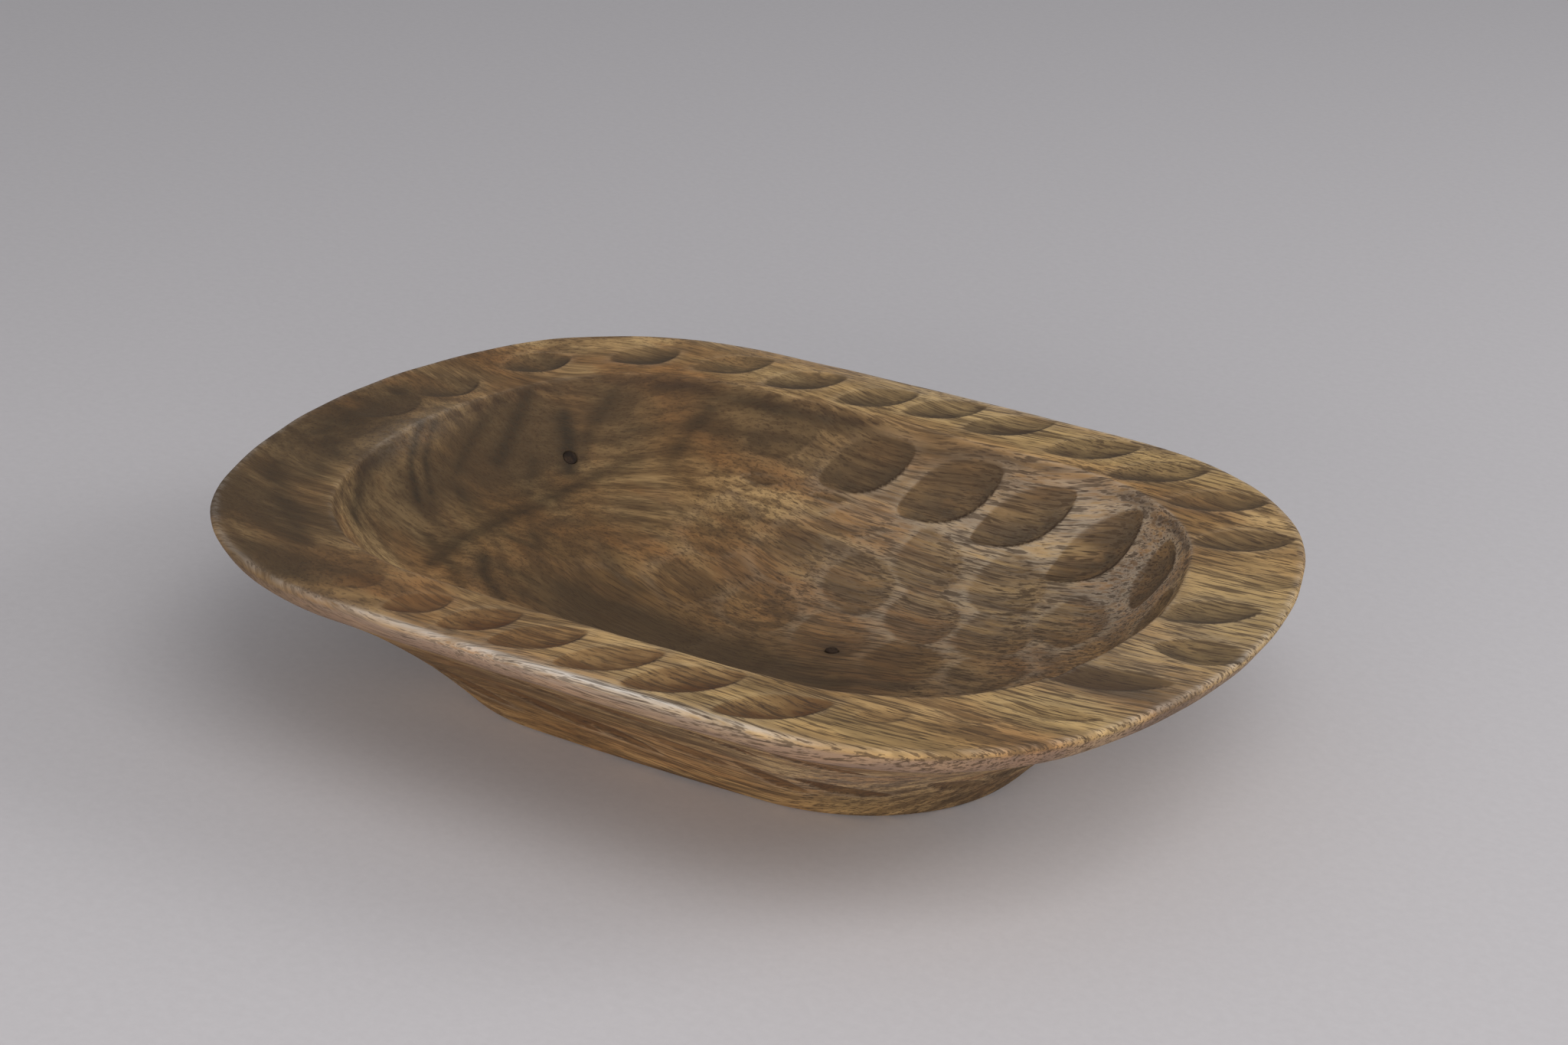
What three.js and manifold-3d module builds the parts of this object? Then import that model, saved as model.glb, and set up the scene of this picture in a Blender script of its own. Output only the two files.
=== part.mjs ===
// Carved wooden dough bowl: one block of wood hollowed and gouged by hand, with two dead knots in it.
// Millimetres, +Z up. The origin is on the surface that the bowl stands on, under the middle of its
// base. X runs along the bowl and its grain, Y runs across it.
import * as THREE from 'three';
import { mergeVertices } from 'three/addons/utils/BufferGeometryUtils.js';
import Module from 'manifold-3d';

const wasm = await Module();
wasm.setup();

// ---- Overall size ----
const BOWL_LENGTH = 406;
const BOWL_WIDTH = 330;
const BOWL_HEIGHT = 75;

// ---- Rim: a broad, nearly flat border, with a bevelled band round its outside ----
const RIM_WIDTH = 42;
const RIM_FALL = 1.5;
const RIM_CORNER_RADIUS = 110;
const BAND_HEIGHT = 12;
const BAND_SET_BACK = 9;
const BAND_BULGE = 1.2;
const ARRIS = 1.5;

// ---- Outer wall and base: the wall is a cove that runs in under the rim to a smaller flat base ----
const BASE_SET_BACK = 85;
const BASE_CORNER_RADIUS = 70;
const WALL_HOLLOW = 4.5;

// ---- Basin: a short steep wall, a soft crease, and a dished floor ----
const MOUTH_CORNER_RADIUS = 82;
const BASIN_WALL_RUN = 26;
const BASIN_WALL_DROP = 32;
const BASIN_WALL_HOLLOW = 2.5;
const CREASE_CORNER_RADIUS = 65;
const FLOOR_THICKNESS = 21.5; // wood left under the middle of the floor

// ---- How round the outlines are: the ends bow broadly and the long sides are almost straight ----
const END_BOW = 1.57; // radius of an end, in half-widths of its outline
const SIDE_BOW = 10.3; // radius of a side, in half-lengths of its outline
const CORNER_LIMIT = 0.9; // a corner's radius stays under this share of the half-width

// ---- Gouge cuts: rings of shallow oval scoops. heading is the gouge's stroke, from +X, seen from
// above, and down is the ring's place on its surface. ----
const RIM_CUTS = { count: 30, length: 35, width: 14, depth: 1.5, heading: 42, down: 0.5 };
const WALL_CUTS = { count: 20, length: 38, width: 17, depth: 1.6, heading: 32, down: 0.5 };
const FLOOR_CUTS = { count: 14, length: 44, width: 30, depth: 1.2, heading: 115, down: 1.3 };
const MIDDLE_CUTS = { count: 5, length: 44, width: 30, depth: 1.2, heading: 115, down: 1.75 };
const CUTTER_LIFT = 0.6; // height of a cutter's middle over the wood, as a share of its radius

// ---- Dead knots: tapered plugs in tapered sockets, flush with the basin ----
// turn is the place round the bowl, from the +X end; down is 0 at the rim and 1 at the floor's crease,
// and goes on to 2 in the middle of the floor.
const KNOT_CLEARANCE = 0.3;
const KNOT_TAPER = 0.7;
const WALL_KNOT = { turn: 0.42, down: 0.7, diameter: 6, length: 10 };
const FLOOR_KNOT = { turn: 0.05, down: 1.79, diameter: 5, length: 9 };

// ---- Fineness of the faceted model ----
const STEPS_ROUND = 64;
const CUTTER_SIDES = 10;
const CUTTER_BANDS = 6;
const KNOT_SIDES = 12;

// A closed outline of nine arcs that meet smoothly: two ends, two sides and four corners.
function makeOutline(halfLength, halfWidth, cornerRadius) {
  const corner = Math.min(cornerRadius, CORNER_LIMIT * halfWidth);
  const end = END_BOW * halfWidth;
  const side = SIDE_BOW * halfLength;
  const endCentre = new THREE.Vector2(halfLength - end, 0);
  const sideCentre = new THREE.Vector2(0, halfWidth - side);

  // A corner's centre lies where two circles round the other two centres cross.
  const fromEnd = end - corner;
  const fromSide = side - corner;
  const span = sideCentre.clone().sub(endCentre);
  const distance = span.length();
  const ahead = (fromEnd ** 2 - fromSide ** 2 + distance ** 2) / (2 * distance);
  const aside = Math.sqrt(fromEnd ** 2 - ahead ** 2);
  const direction = span.divideScalar(distance);
  const cornerCentre = endCentre.clone().addScaledVector(direction, ahead);
  cornerCentre.x -= direction.y * aside;
  cornerCentre.y += direction.x * aside;

  const toCorner = Math.atan2(cornerCentre.y, cornerCentre.x - endCentre.x);
  const toSide = Math.atan2(cornerCentre.y - sideCentre.y, cornerCentre.x);
  const half = Math.PI;
  const full = 2 * Math.PI;
  const arcs = [
    [endCentre.x, 0, end, 0, toCorner],
    [cornerCentre.x, cornerCentre.y, corner, toCorner, toSide],
    [0, sideCentre.y, side, toSide, half - toSide],
    [-cornerCentre.x, cornerCentre.y, corner, half - toSide, half - toCorner],
    [-endCentre.x, 0, end, half - toCorner, half + toCorner],
    [-cornerCentre.x, -cornerCentre.y, corner, half + toCorner, half + toSide],
    [0, -sideCentre.y, side, half + toSide, full - toSide],
    [cornerCentre.x, -cornerCentre.y, corner, full - toSide, full - toCorner],
    [endCentre.x, 0, end, full - toCorner, full],
  ];
  const outline = new THREE.CurvePath();
  for (const [x, y, radius, from, to] of arcs) {
    outline.add(new THREE.EllipseCurve(x, y, radius, radius, from, to));
  }
  return outline;
}

// The outlines that the surfaces run between, each set back evenly from the rim's outer arris.
const setBack = (inset, cornerRadius) =>
  makeOutline(BOWL_LENGTH / 2 - inset, BOWL_WIDTH / 2 - inset, cornerRadius);
const rimOutline = setBack(0, RIM_CORNER_RADIUS);
const flatOutline = setBack(ARRIS, RIM_CORNER_RADIUS - ARRIS);
const bandOutline = setBack(BAND_SET_BACK, RIM_CORNER_RADIUS - BAND_SET_BACK);
const baseOutline = setBack(BASE_SET_BACK, BASE_CORNER_RADIUS);
const mouthOutline = setBack(RIM_WIDTH, MOUTH_CORNER_RADIUS);
const creaseOutline = setBack(RIM_WIDTH + BASIN_WALL_RUN, CREASE_CORNER_RADIUS);

// Heights of those outlines.
const rimHeight = BOWL_HEIGHT - ARRIS;
const bandHeight = BOWL_HEIGHT - BAND_HEIGHT;
const mouthHeight = BOWL_HEIGHT - RIM_FALL;
const creaseHeight = mouthHeight - BASIN_WALL_DROP;
const floorDish = creaseHeight - FLOOR_THICKNESS;

// A point on the surface that runs from one outline to another. share goes from 0 to 1 between them,
// and the surface is pushed square to its straight line by bulge, outwards and down, most in the middle.
function between(outerOutline, outerHeight, innerOutline, innerHeight, turn, share, bulge = 0) {
  const outer = outerOutline.getPointAt(turn);
  const inner = innerOutline.getPointAt(turn);
  const run = outer.distanceTo(inner);
  const fall = outerHeight - innerHeight;
  const slope = Math.hypot(run, fall);
  const push = 4 * bulge * share * (1 - share);
  const point = outer.clone().lerp(inner, share);
  point.addScaledVector(outer.sub(inner), (push * fall) / slope / run);
  const height = THREE.MathUtils.lerp(outerHeight, innerHeight, share) - (push * run) / slope;
  return new THREE.Vector3(point.x, point.y, height);
}

// The basin: down runs from 0 at its mouth to 1 at the crease and 2 in the middle of the floor.
function basinPoint(turn, down) {
  if (down <= 1) {
    return between(mouthOutline, mouthHeight, creaseOutline, creaseHeight, turn, down,
      BASIN_WALL_HOLLOW);
  }
  const reach = 2 - down;
  const edge = creaseOutline.getPointAt(turn).multiplyScalar(reach);
  return new THREE.Vector3(edge.x, edge.y, creaseHeight - floorDish * (1 - reach ** 2));
}

// The outside below the band: down runs from 0 at the band to 1 at the base.
function outsidePoint(turn, down) {
  return between(bandOutline, bandHeight, baseOutline, 0, turn, down, -WALL_HOLLOW);
}

// The rim's top: across runs from 0 at the outer arris to 1 at the mouth.
function rimPoint(turn, across) {
  return between(flatOutline, BOWL_HEIGHT, mouthOutline, mouthHeight, turn, across);
}

// The band: down runs from 0 at the outer arris to 1 at its lower edge.
function bandPoint(turn, down) {
  return between(rimOutline, rimHeight, bandOutline, bandHeight, turn, down, BAND_BULGE);
}

// Points of one surface at several shares of its way, as functions of the place round the bowl.
const along = (surface, shares) => shares.map((share) => (turn) => surface(turn, share));
const centre = (height) => () => new THREE.Vector3(0, 0, height);

// The whole section in one line, from under the base, up the outside, over the rim and down the basin.
const section = [
  centre(0),
  ...along(outsidePoint, [1, 0.8, 0.6, 0.4, 0.2, 0]),
  ...along(bandPoint, [0.5, 0]),
  ...along(rimPoint, [0, 0.5, 1]),
  ...along(basinPoint, [0.3, 0.6, 0.88, 1.05, 1.3, 1.55, 1.8]),
  centre(FLOOR_THICKNESS),
];

// Closed mesh with shared vertices, as a solid that can be cut and joined.
function toSolid(geometry) {
  const bare = geometry.clone();
  bare.deleteAttribute('normal');
  bare.deleteAttribute('uv');
  const merged = mergeVertices(bare, 1e-4);
  const index = Array.from(merged.index.array);
  const triangles = [];
  for (let i = 0; i < index.length; i += 3) {
    const [a, b, c] = index.slice(i, i + 3);
    if (a !== b && b !== c && c !== a) {
      triangles.push(a, b, c);
    }
  }
  return new wasm.Manifold(new wasm.Mesh({
    numProp: 3,
    vertProperties: new Float32Array(merged.attributes.position.array),
    triVerts: new Uint32Array(triangles),
  }));
}

function toMesh(solid, name, material) {
  const mesh = solid.getMesh();
  const geometry = new THREE.BufferGeometry();
  geometry.setAttribute('position', new THREE.BufferAttribute(mesh.vertProperties, 3));
  geometry.setIndex(new THREE.BufferAttribute(mesh.triVerts, 1));
  geometry.computeVertexNormals();
  const part = new THREE.Mesh(geometry, material);
  part.name = name;
  return part;
}

// A turned form with one ring for each point of the section, pressed out to the bowl's outlines.
function makeBlank() {
  const first = section.map((point) => point(0));
  const blank = new THREE.LatheGeometry(first.map((p) => new THREE.Vector2(p.x, p.z)), STEPS_ROUND);
  const position = blank.attributes.position;
  for (let step = 0; step <= STEPS_ROUND; step += 1) {
    const turn = (step % STEPS_ROUND) / STEPS_ROUND;
    section.forEach((point, ring) => {
      const place = point(turn);
      position.setXYZ(step * section.length + ring, place.x, place.y, place.z);
    });
  }
  return toSolid(blank);
}

// The frame of a surface at a place: z square to it and outwards, x along a heading seen from above.
function surfaceFrame(surface, turn, down, heading) {
  const step = 0.002;
  const place = surface(turn, down);
  const ahead = surface((turn + step) % 1, down).sub(place);
  const lower = surface(turn, down + step).sub(place);
  const outward = ahead.cross(lower).normalize();
  const angle = THREE.MathUtils.degToRad(heading);
  const stroke = new THREE.Vector3(Math.cos(angle), Math.sin(angle), 0);
  stroke.projectOnPlane(outward).normalize();
  const sideways = outward.clone().cross(stroke);
  return new THREE.Matrix4().makeBasis(stroke, sideways, outward).setPosition(place);
}

// One gouge's cutter: an ellipsoid whose middle is above the wood, so that only its bottom cuts.
function makeCutter(surface, turn, cuts) {
  const mouth = Math.sqrt(1 - CUTTER_LIFT ** 2);
  const thick = cuts.depth / (1 - CUTTER_LIFT);
  const cutter = new THREE.SphereGeometry(1, CUTTER_SIDES, CUTTER_BANDS);
  cutter.rotateX(Math.PI / 2);
  cutter.scale(cuts.length / 2 / mouth, cuts.width / 2 / mouth, thick);
  cutter.translate(0, 0, CUTTER_LIFT * thick);
  cutter.applyMatrix4(surfaceFrame(surface, turn, cuts.down, cuts.heading));
  return toSolid(cutter);
}

// A ring of like cuts, evenly spaced round the bowl.
function makeCuts(surface, cuts) {
  const cutters = [];
  for (let i = 0; i < cuts.count; i += 1) {
    cutters.push(makeCutter(surface, (i + 0.5) / cuts.count, cuts));
  }
  return cutters;
}

// A knot's tapered solid, wider at the basin, with its axis square to the wood there. It stands proud
// of the wood, so that the basin's own surface trims it.
function makeKnotForm(knot, clearance) {
  const radius = knot.diameter / 2;
  const proud = knot.diameter;
  const widening = (radius * (1 - KNOT_TAPER)) / knot.length;
  const depth = knot.length + clearance;
  const top = radius + widening * proud + clearance;
  const bottom = radius * KNOT_TAPER + clearance;
  const form = new THREE.CylinderGeometry(top, bottom, depth + proud, KNOT_SIDES);
  form.rotateX(Math.PI / 2);
  form.translate(0, 0, (proud - depth) / 2);
  form.applyMatrix4(surfaceFrame(basinPoint, knot.turn, knot.down, 0));
  return toSolid(form);
}

const blank = makeBlank();
const cutters = [
  ...makeCuts(rimPoint, RIM_CUTS),
  ...makeCuts(basinPoint, WALL_CUTS),
  ...makeCuts(basinPoint, FLOOR_CUTS),
  ...makeCuts(basinPoint, MIDDLE_CUTS),
];
const carved = cutters.reduce((wood, cutter) => wood.subtract(cutter), blank);
const knots = [WALL_KNOT, FLOOR_KNOT];
const block = knots.reduce((wood, knot) => wood.subtract(makeKnotForm(knot, KNOT_CLEARANCE)), carved);

const bowlWood = new THREE.MeshStandardMaterial({ color: '#8f6f49', roughness: 0.75, metalness: 0 });
const knotWood = new THREE.MeshStandardMaterial({ color: '#2b1d14', roughness: 0.7, metalness: 0 });

const bowl = new THREE.Group();
bowl.add(toMesh(block, 'bowl_block', bowlWood));
bowl.add(toMesh(carved.intersect(makeKnotForm(WALL_KNOT, 0)), 'wall_knot', knotWood));
bowl.add(toMesh(carved.intersect(makeKnotForm(FLOOR_KNOT, 0)), 'floor_knot', knotWood));

export default bowl;
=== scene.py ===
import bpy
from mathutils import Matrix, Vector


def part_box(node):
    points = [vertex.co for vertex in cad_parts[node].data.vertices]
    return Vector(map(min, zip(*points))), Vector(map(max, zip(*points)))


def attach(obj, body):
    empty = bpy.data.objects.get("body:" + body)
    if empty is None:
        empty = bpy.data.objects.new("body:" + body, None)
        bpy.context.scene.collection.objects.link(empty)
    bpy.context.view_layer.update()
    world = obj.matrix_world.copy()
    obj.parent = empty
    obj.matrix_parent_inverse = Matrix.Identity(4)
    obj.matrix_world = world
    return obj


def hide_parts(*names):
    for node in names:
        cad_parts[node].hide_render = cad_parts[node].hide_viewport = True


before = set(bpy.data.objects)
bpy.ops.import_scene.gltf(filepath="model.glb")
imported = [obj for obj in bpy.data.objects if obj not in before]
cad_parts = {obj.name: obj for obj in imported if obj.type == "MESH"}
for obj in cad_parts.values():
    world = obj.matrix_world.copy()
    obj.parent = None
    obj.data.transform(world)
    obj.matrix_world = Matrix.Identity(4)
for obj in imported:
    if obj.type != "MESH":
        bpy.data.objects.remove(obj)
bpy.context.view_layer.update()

import math

import bmesh
import bpy
import numpy as np
from mathutils import Matrix

# ---- Camera ----
# A long lens held a little above the rim, off the bowl's near right corner, and turned to look down
# across the basin.
camera = bpy.data.objects.new("camera", bpy.data.cameras.new("camera"))
camera.data.lens = 73.83
camera.data.sensor_width = 36
camera.data.sensor_fit = "HORIZONTAL"
camera.data.clip_start = 0.05
camera.data.clip_end = 20
camera_right = (0.8735, 0.4834, 0.0574)
camera_up = (-0.2336, 0.3126, 0.9207)
camera_back = (0.4271, -0.8177, 0.3860)
turned = Matrix((camera_right, camera_up, camera_back)).transposed().to_4x4()
camera.matrix_world = Matrix.Translation((0.5325, -1.0015, 0.5463)) @ turned
bpy.context.scene.collection.objects.link(camera)
bpy.context.scene.camera = camera

# ---- Bowl block ----
# The bowl is one block of open-grained hardwood, hollowed and shaped by hand: a broad nearly flat
# rim, a short steep wall, a dished floor, and an outside that coves in to a smaller flat base.

# Sizes are in millimetres until the points of the mesh are set.
MM = 0.001
LENGTH = 406
WIDTH = 330
# The ends and sides are arcs, with radii of this many times half the width and half the length.
END_BOW = 1.57
SIDE_BOW = 10.3

# The outlines that the section passes through: set-back from the rim's edge, corner radius, height.
BASE_EDGE = (85, 70, 0)
BAND_FOOT = (9, 101, 63)
RIM_SIDE = (0, 110, 73.5)
RIM_TOP = (1.5, 108.5, 75)
MOUTH = (42, 82, 73.5)
CREASE = (68, 65, 41.5)
FLOOR_HEIGHT = 21.5
OUTLINES = (None, BASE_EDGE, BAND_FOOT, RIM_SIDE, RIM_TOP, MOUTH, CREASE)

# How far the wood from each outline to the next is bowed outwards and down. A number below 0 is a
# cove. The base comes before the first outline, and the floor after the last.
BOWED = (0, -4.5, 1.2, 0, 0, 2.5)

# Length along the section, in millimetres from the middle of the base, at that middle, at each
# outline and at the middle of the floor.
SECTION = np.array([0, 100, 200, 214.2, 216.3, 256.8, 297.8, 416])
STRETCHES = len(SECTION) - 1

# How far on each side of these places the tool and years of handling have rounded the surface.
SOFT_AT = np.array([0, 92, 100, 108, 194, 200, 206, 212, 215.5, 221, 250, 256.8, 264, 284, 298, 330, 416])
SOFT_BY = np.array([0, 0.5, 1.0, 0.5, 0.5, 0.6, 0.6, 0.7, 1.2, 0.7, 0.7, 0.9, 0.8, 3, 8, 2, 0])


def outline(set_back, corner, turn):
    """The bowl's outline, in plan, at shares of the way round it from the middle of the +X end."""
    half_length = LENGTH / 2 - set_back
    half_width = WIDTH / 2 - set_back
    end = END_BOW * half_width
    side = SIDE_BOW * half_length
    end_x = half_length - end
    side_y = half_width - side
    span = math.hypot(end_x, side_y)
    ahead = ((end - corner) ** 2 - (side - corner) ** 2 + span ** 2) / (2 * span)
    aside = math.sqrt((end - corner) ** 2 - ahead ** 2)
    along_x = -end_x / span
    along_y = side_y / span
    corner_x = end_x + along_x * ahead - along_y * aside
    corner_y = along_y * ahead + along_x * aside
    to_corner = math.atan2(corner_y, corner_x - end_x)
    to_side = math.atan2(corner_y - side_y, corner_x)
    end_arc = end * to_corner
    corner_arc = corner * (to_side - to_corner)
    side_arc = side * (math.pi / 2 - to_side)
    quarter, share = np.divmod((turn % 1) * 4, 1)
    share = np.where(quarter % 2 == 0, share, 1 - share)
    way = share * (end_arc + corner_arc + side_arc)
    on_end = way / end
    on_corner = to_corner + (way - end_arc) / corner
    on_side = to_side + (way - end_arc - corner_arc) / side
    where = [way < end_arc, way < end_arc + corner_arc]
    x = np.select(
        where,
        [end_x + end * np.cos(on_end), corner_x + corner * np.cos(on_corner)],
        side * np.cos(on_side),
    )
    y = np.select(
        where,
        [end * np.sin(on_end), corner_y + corner * np.sin(on_corner)],
        side_y + side * np.sin(on_side),
    )
    x = np.where((quarter == 1) | (quarter == 2), -x, x)
    y = np.where(quarter >= 2, -y, y)
    return np.stack([x, y], -1)


def sharp_skin(turn, along):
    """The bowl's surface before its edges are eased, at a place round it and along its section."""
    way = np.interp(along, SECTION, np.arange(len(SECTION)))
    stretch = np.minimum(way.astype(int), STRETCHES - 1)
    share = way - stretch
    place = np.zeros((len(turn), 3))
    for number in range(STRETCHES):
        here = stretch == number
        if not here.any():
            continue
        turned_to = turn[here]
        s = share[here]
        if number == 0:
            place[here, :2] = outline(*BASE_EDGE[:2], turned_to) * s[:, None]
            continue
        if number == STRETCHES - 1:
            place[here, :2] = outline(*CREASE[:2], turned_to) * (1 - s)[:, None]
            place[here, 2] = FLOOR_HEIGHT + (CREASE[2] - FLOOR_HEIGHT) * (1 - s) ** 2
            continue
        low = outline(*OUTLINES[number][:2], turned_to)
        high = outline(*OUTLINES[number + 1][:2], turned_to)
        step = high - low
        run = np.linalg.norm(step, axis=1)
        rise = OUTLINES[number + 1][2] - OUTLINES[number][2]
        slope = np.hypot(run, rise)
        push = 4 * BOWED[number] * s * (1 - s)
        outwards = step / run[:, None] * np.sign((step * low).sum(1))[:, None]
        place[here, :2] = low + step * s[:, None] + outwards * (push * abs(rise) / slope)[:, None]
        place[here, 2] = OUTLINES[number][2] + rise * s - push * run / slope
    return place


def skin(turn, along):
    """The bowl's surface with its edges eased: an average over a short way along the section."""
    soft = np.interp(along, SOFT_AT, SOFT_BY)
    place = np.zeros((len(turn), 3))
    for offset, weight in ((-1, 1), (-0.6, 3), (-0.2, 4), (0.2, 4), (0.6, 3), (1, 1)):
        place += sharp_skin(turn, np.clip(along + soft * offset, 0, SECTION[-1])) * weight / 16
    return place


def outward(turn, along):
    """The direction square to the surface, out of the wood."""
    step = 0.0008
    ahead = skin((turn + step) % 1, along) - skin((turn - step) % 1, along)
    near = np.clip(along - 0.3, 0.5, SECTION[-1] - 1)
    onward = skin(turn, near + 0.6) - skin(turn, near)
    square = np.cross(ahead, onward)
    return square / np.maximum(np.linalg.norm(square, axis=1), 1e-9)[:, None]


# The block starts as a round form. Each of its rings becomes one line round the bowl, and they lie
# closest where the section turns.
RINGS = 118
STEPS = 224
RING_AT = (0, 4, 9, 26, 28, 34, 38, 48, 62, 73, 86, 93, 118)
RING_ALONG = (0, 94, 106, 194, 198, 202.5, 211, 219, 251, 262, 290, 306, 416)
bm = bmesh.new()
bmesh.ops.create_uvsphere(bm, u_segments=STEPS, v_segments=RINGS, radius=1)


def where_on_skin(form):
    """Where each point of the round form goes: round the bowl, and along its section."""
    point = np.array([v.co for v in form.verts])
    turn = np.arctan2(point[:, 1], point[:, 0]) / (2 * math.pi) % 1
    ring = np.arctan2(np.hypot(point[:, 0], point[:, 1]), -point[:, 2]) / math.pi * RINGS
    return turn, np.interp(ring, RING_AT, RING_ALONG)


# Gouge cuts on the rim: x, y, length, width, depth, heading of the stroke from +X, and how much
# steeper one side is than the other.
RIM_CUTS = (
    (-88, -139, 22, 14, 0.6, 66, 0.4), (-60, -144, 28, 18, 1.1, 60, 0.6),
    (-35, -141, 34, 19, 1.6, 60, 0.7), (-9, -142, 38, 20, 1.8, 54, 0.7),
    (19, -142, 42, 21, 2.0, 52, 0.7),
    (50, -141, 46, 22, 2.0, 49, 0.7), (84, -142, 44, 20, 1.7, 46, 0.7),
    (116, -128, 22, 13, 0.5, 50, 0.3), (142, -112, 20, 9, 0.5, 20, 0.5),
    (165, -90, 36, 12, 1.0, 12, 0.7), (166, -54, 50, 20, 1.6, 20, 0.6),
    (187, -16, 36, 24, 1.9, 14, 0.6), (176, 20, 42, 22, 1.8, 38, 0.6),
    (186, 58, 26, 14, 0.6, 40, 0.4), (161, 92, 42, 21, 1.7, 38, 0.6),
    (139, 122, 42, 21, 1.7, 33, 0.6), (106, 138, 44, 19, 1.6, 40, 0.6),
    (72, 143, 42, 21, 1.7, 40, 0.6), (34, 146, 42, 21, 1.6, 46, 0.6),
    (3, 146, 38, 20, 1.4, 46, 0.6), (-26, 143, 38, 20, 1.5, 46, 0.6),
    (-57, 143, 38, 20, 1.4, 46, 0.6), (-91, 140, 38, 19, 1.2, 50, 0.5),
    (-129, 124, 34, 20, 1.3, 56, 0.5), (-162, 88, 34, 21, 1.8, 64, 0.6),
    (-174, 45, 32, 20, 1.7, 76, 0.6), (-180, 8, 34, 20, 0.9, 80, 0.5),
)
# Cuts up the basin's wall.
WALL_CUTS = (
    (-52, 114, 36, 20, 0.7, 46, 0.4), (-13, 112, 44, 25, 1.5, 46, 0.5),
    (27, 111, 48, 27, 1.8, 48, 0.5), (62, 107, 48, 24, 1.8, 50, 0.5),
    (100, 98, 48, 27, 1.7, 48, 0.5), (132, 76, 36, 24, 1.1, 66, 0.4),
    (147, 40, 34, 22, 0.9, 85, 0.4), (149, 0, 34, 22, 0.9, 100, 0.4),
    (142, -42, 32, 21, 1.0, 115, 0.4), (118, -86, 34, 21, 1.0, 150, 0.4),
    (82, -107, 36, 20, 1.1, 200, 0.4), (40, -112, 36, 20, 1.0, 200, 0.4),
    (0, -113, 36, 20, 0.9, 200, 0.4), (-54, 98, 19, 5, 0.9, 8, 0.3), (-22, 99, 17, 5, 0.9, 6, 0.3),
)
# Broad flat scoops over the floor. They meet in low ridges.
FLOOR_CUTS = (
    (-6, 90, 40, 20, 1.0, 30, 0.3), (36, 80, 48, 30, 1.6, 116, 0.2), (72, 76, 50, 34, 1.5, 112, 0.2),
    (14, 56, 46, 32, 1.2, 116, 0.2), (-22, 64, 46, 32, 0.9, 110, 0.2), (48, 44, 48, 33, 1.4, 118, 0.2),
    (82, 40, 50, 34, 1.4, 116, 0.2), (108, 56, 46, 32, 1.4, 104, 0.2), (24, 18, 48, 32, 1.1, 116, 0.2),
    (60, 8, 50, 34, 1.2, 118, 0.2), (97, 8, 48, 34, 1.2, 108, 0.2), (38, -26, 48, 33, 1.0, 118, 0.2),
    (76, -30, 50, 34, 1.1, 118, 0.2), (108, -36, 40, 30, 1.0, 100, 0.2), (2, -18, 46, 32, 0.9, 116, 0.2),
    (16, -60, 48, 32, 1.0, 122, 0.2), (56, -66, 48, 34, 1.0, 122, 0.2), (92, -66, 42, 30, 0.9, 130, 0.2),
    (-12, 24, 46, 32, 0.8, 114, 0.2), (-48, 30, 46, 32, 0.6, 112, 0.2), (-54, 68, 44, 30, 0.6, 108, 0.2),
    (-34, -14, 46, 32, 0.6, 114, 0.2), (-70, -8, 44, 30, 0.5, 110, 0.2), (-24, -56, 46, 32, 0.7, 120, 0.2),
    (-62, -52, 44, 30, 0.5, 116, 0.2), (-98, 16, 38, 28, 0.4, 100, 0.2), (-86, 54, 38, 26, 0.4, 106, 0.2),
    (-98, -30, 38, 26, 0.4, 96, 0.2),
)
# Long cuts along the outside, in two rows: place round the bowl, along the section, and slant.
outside_rng = np.random.default_rng(11)
OUTSIDE_CUTS = [
    ((k + 0.5 * row) / 26 + outside_rng.uniform(-0.006, 0.006), middle + outside_rng.uniform(-5, 5),
     outside_rng.uniform(30, 44), outside_rng.uniform(11, 15), outside_rng.uniform(0.6, 1.3),
     outside_rng.uniform(-42, -18), 0.5)
    for row, middle in enumerate((176, 132))
    for k in range(26)
]
# The sockets of two dead knots: x, y, radius, depth.
SOCKETS = ((-127.5, 64.6, 3.3, 10), (27, 8, 2.8, 9))
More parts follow.
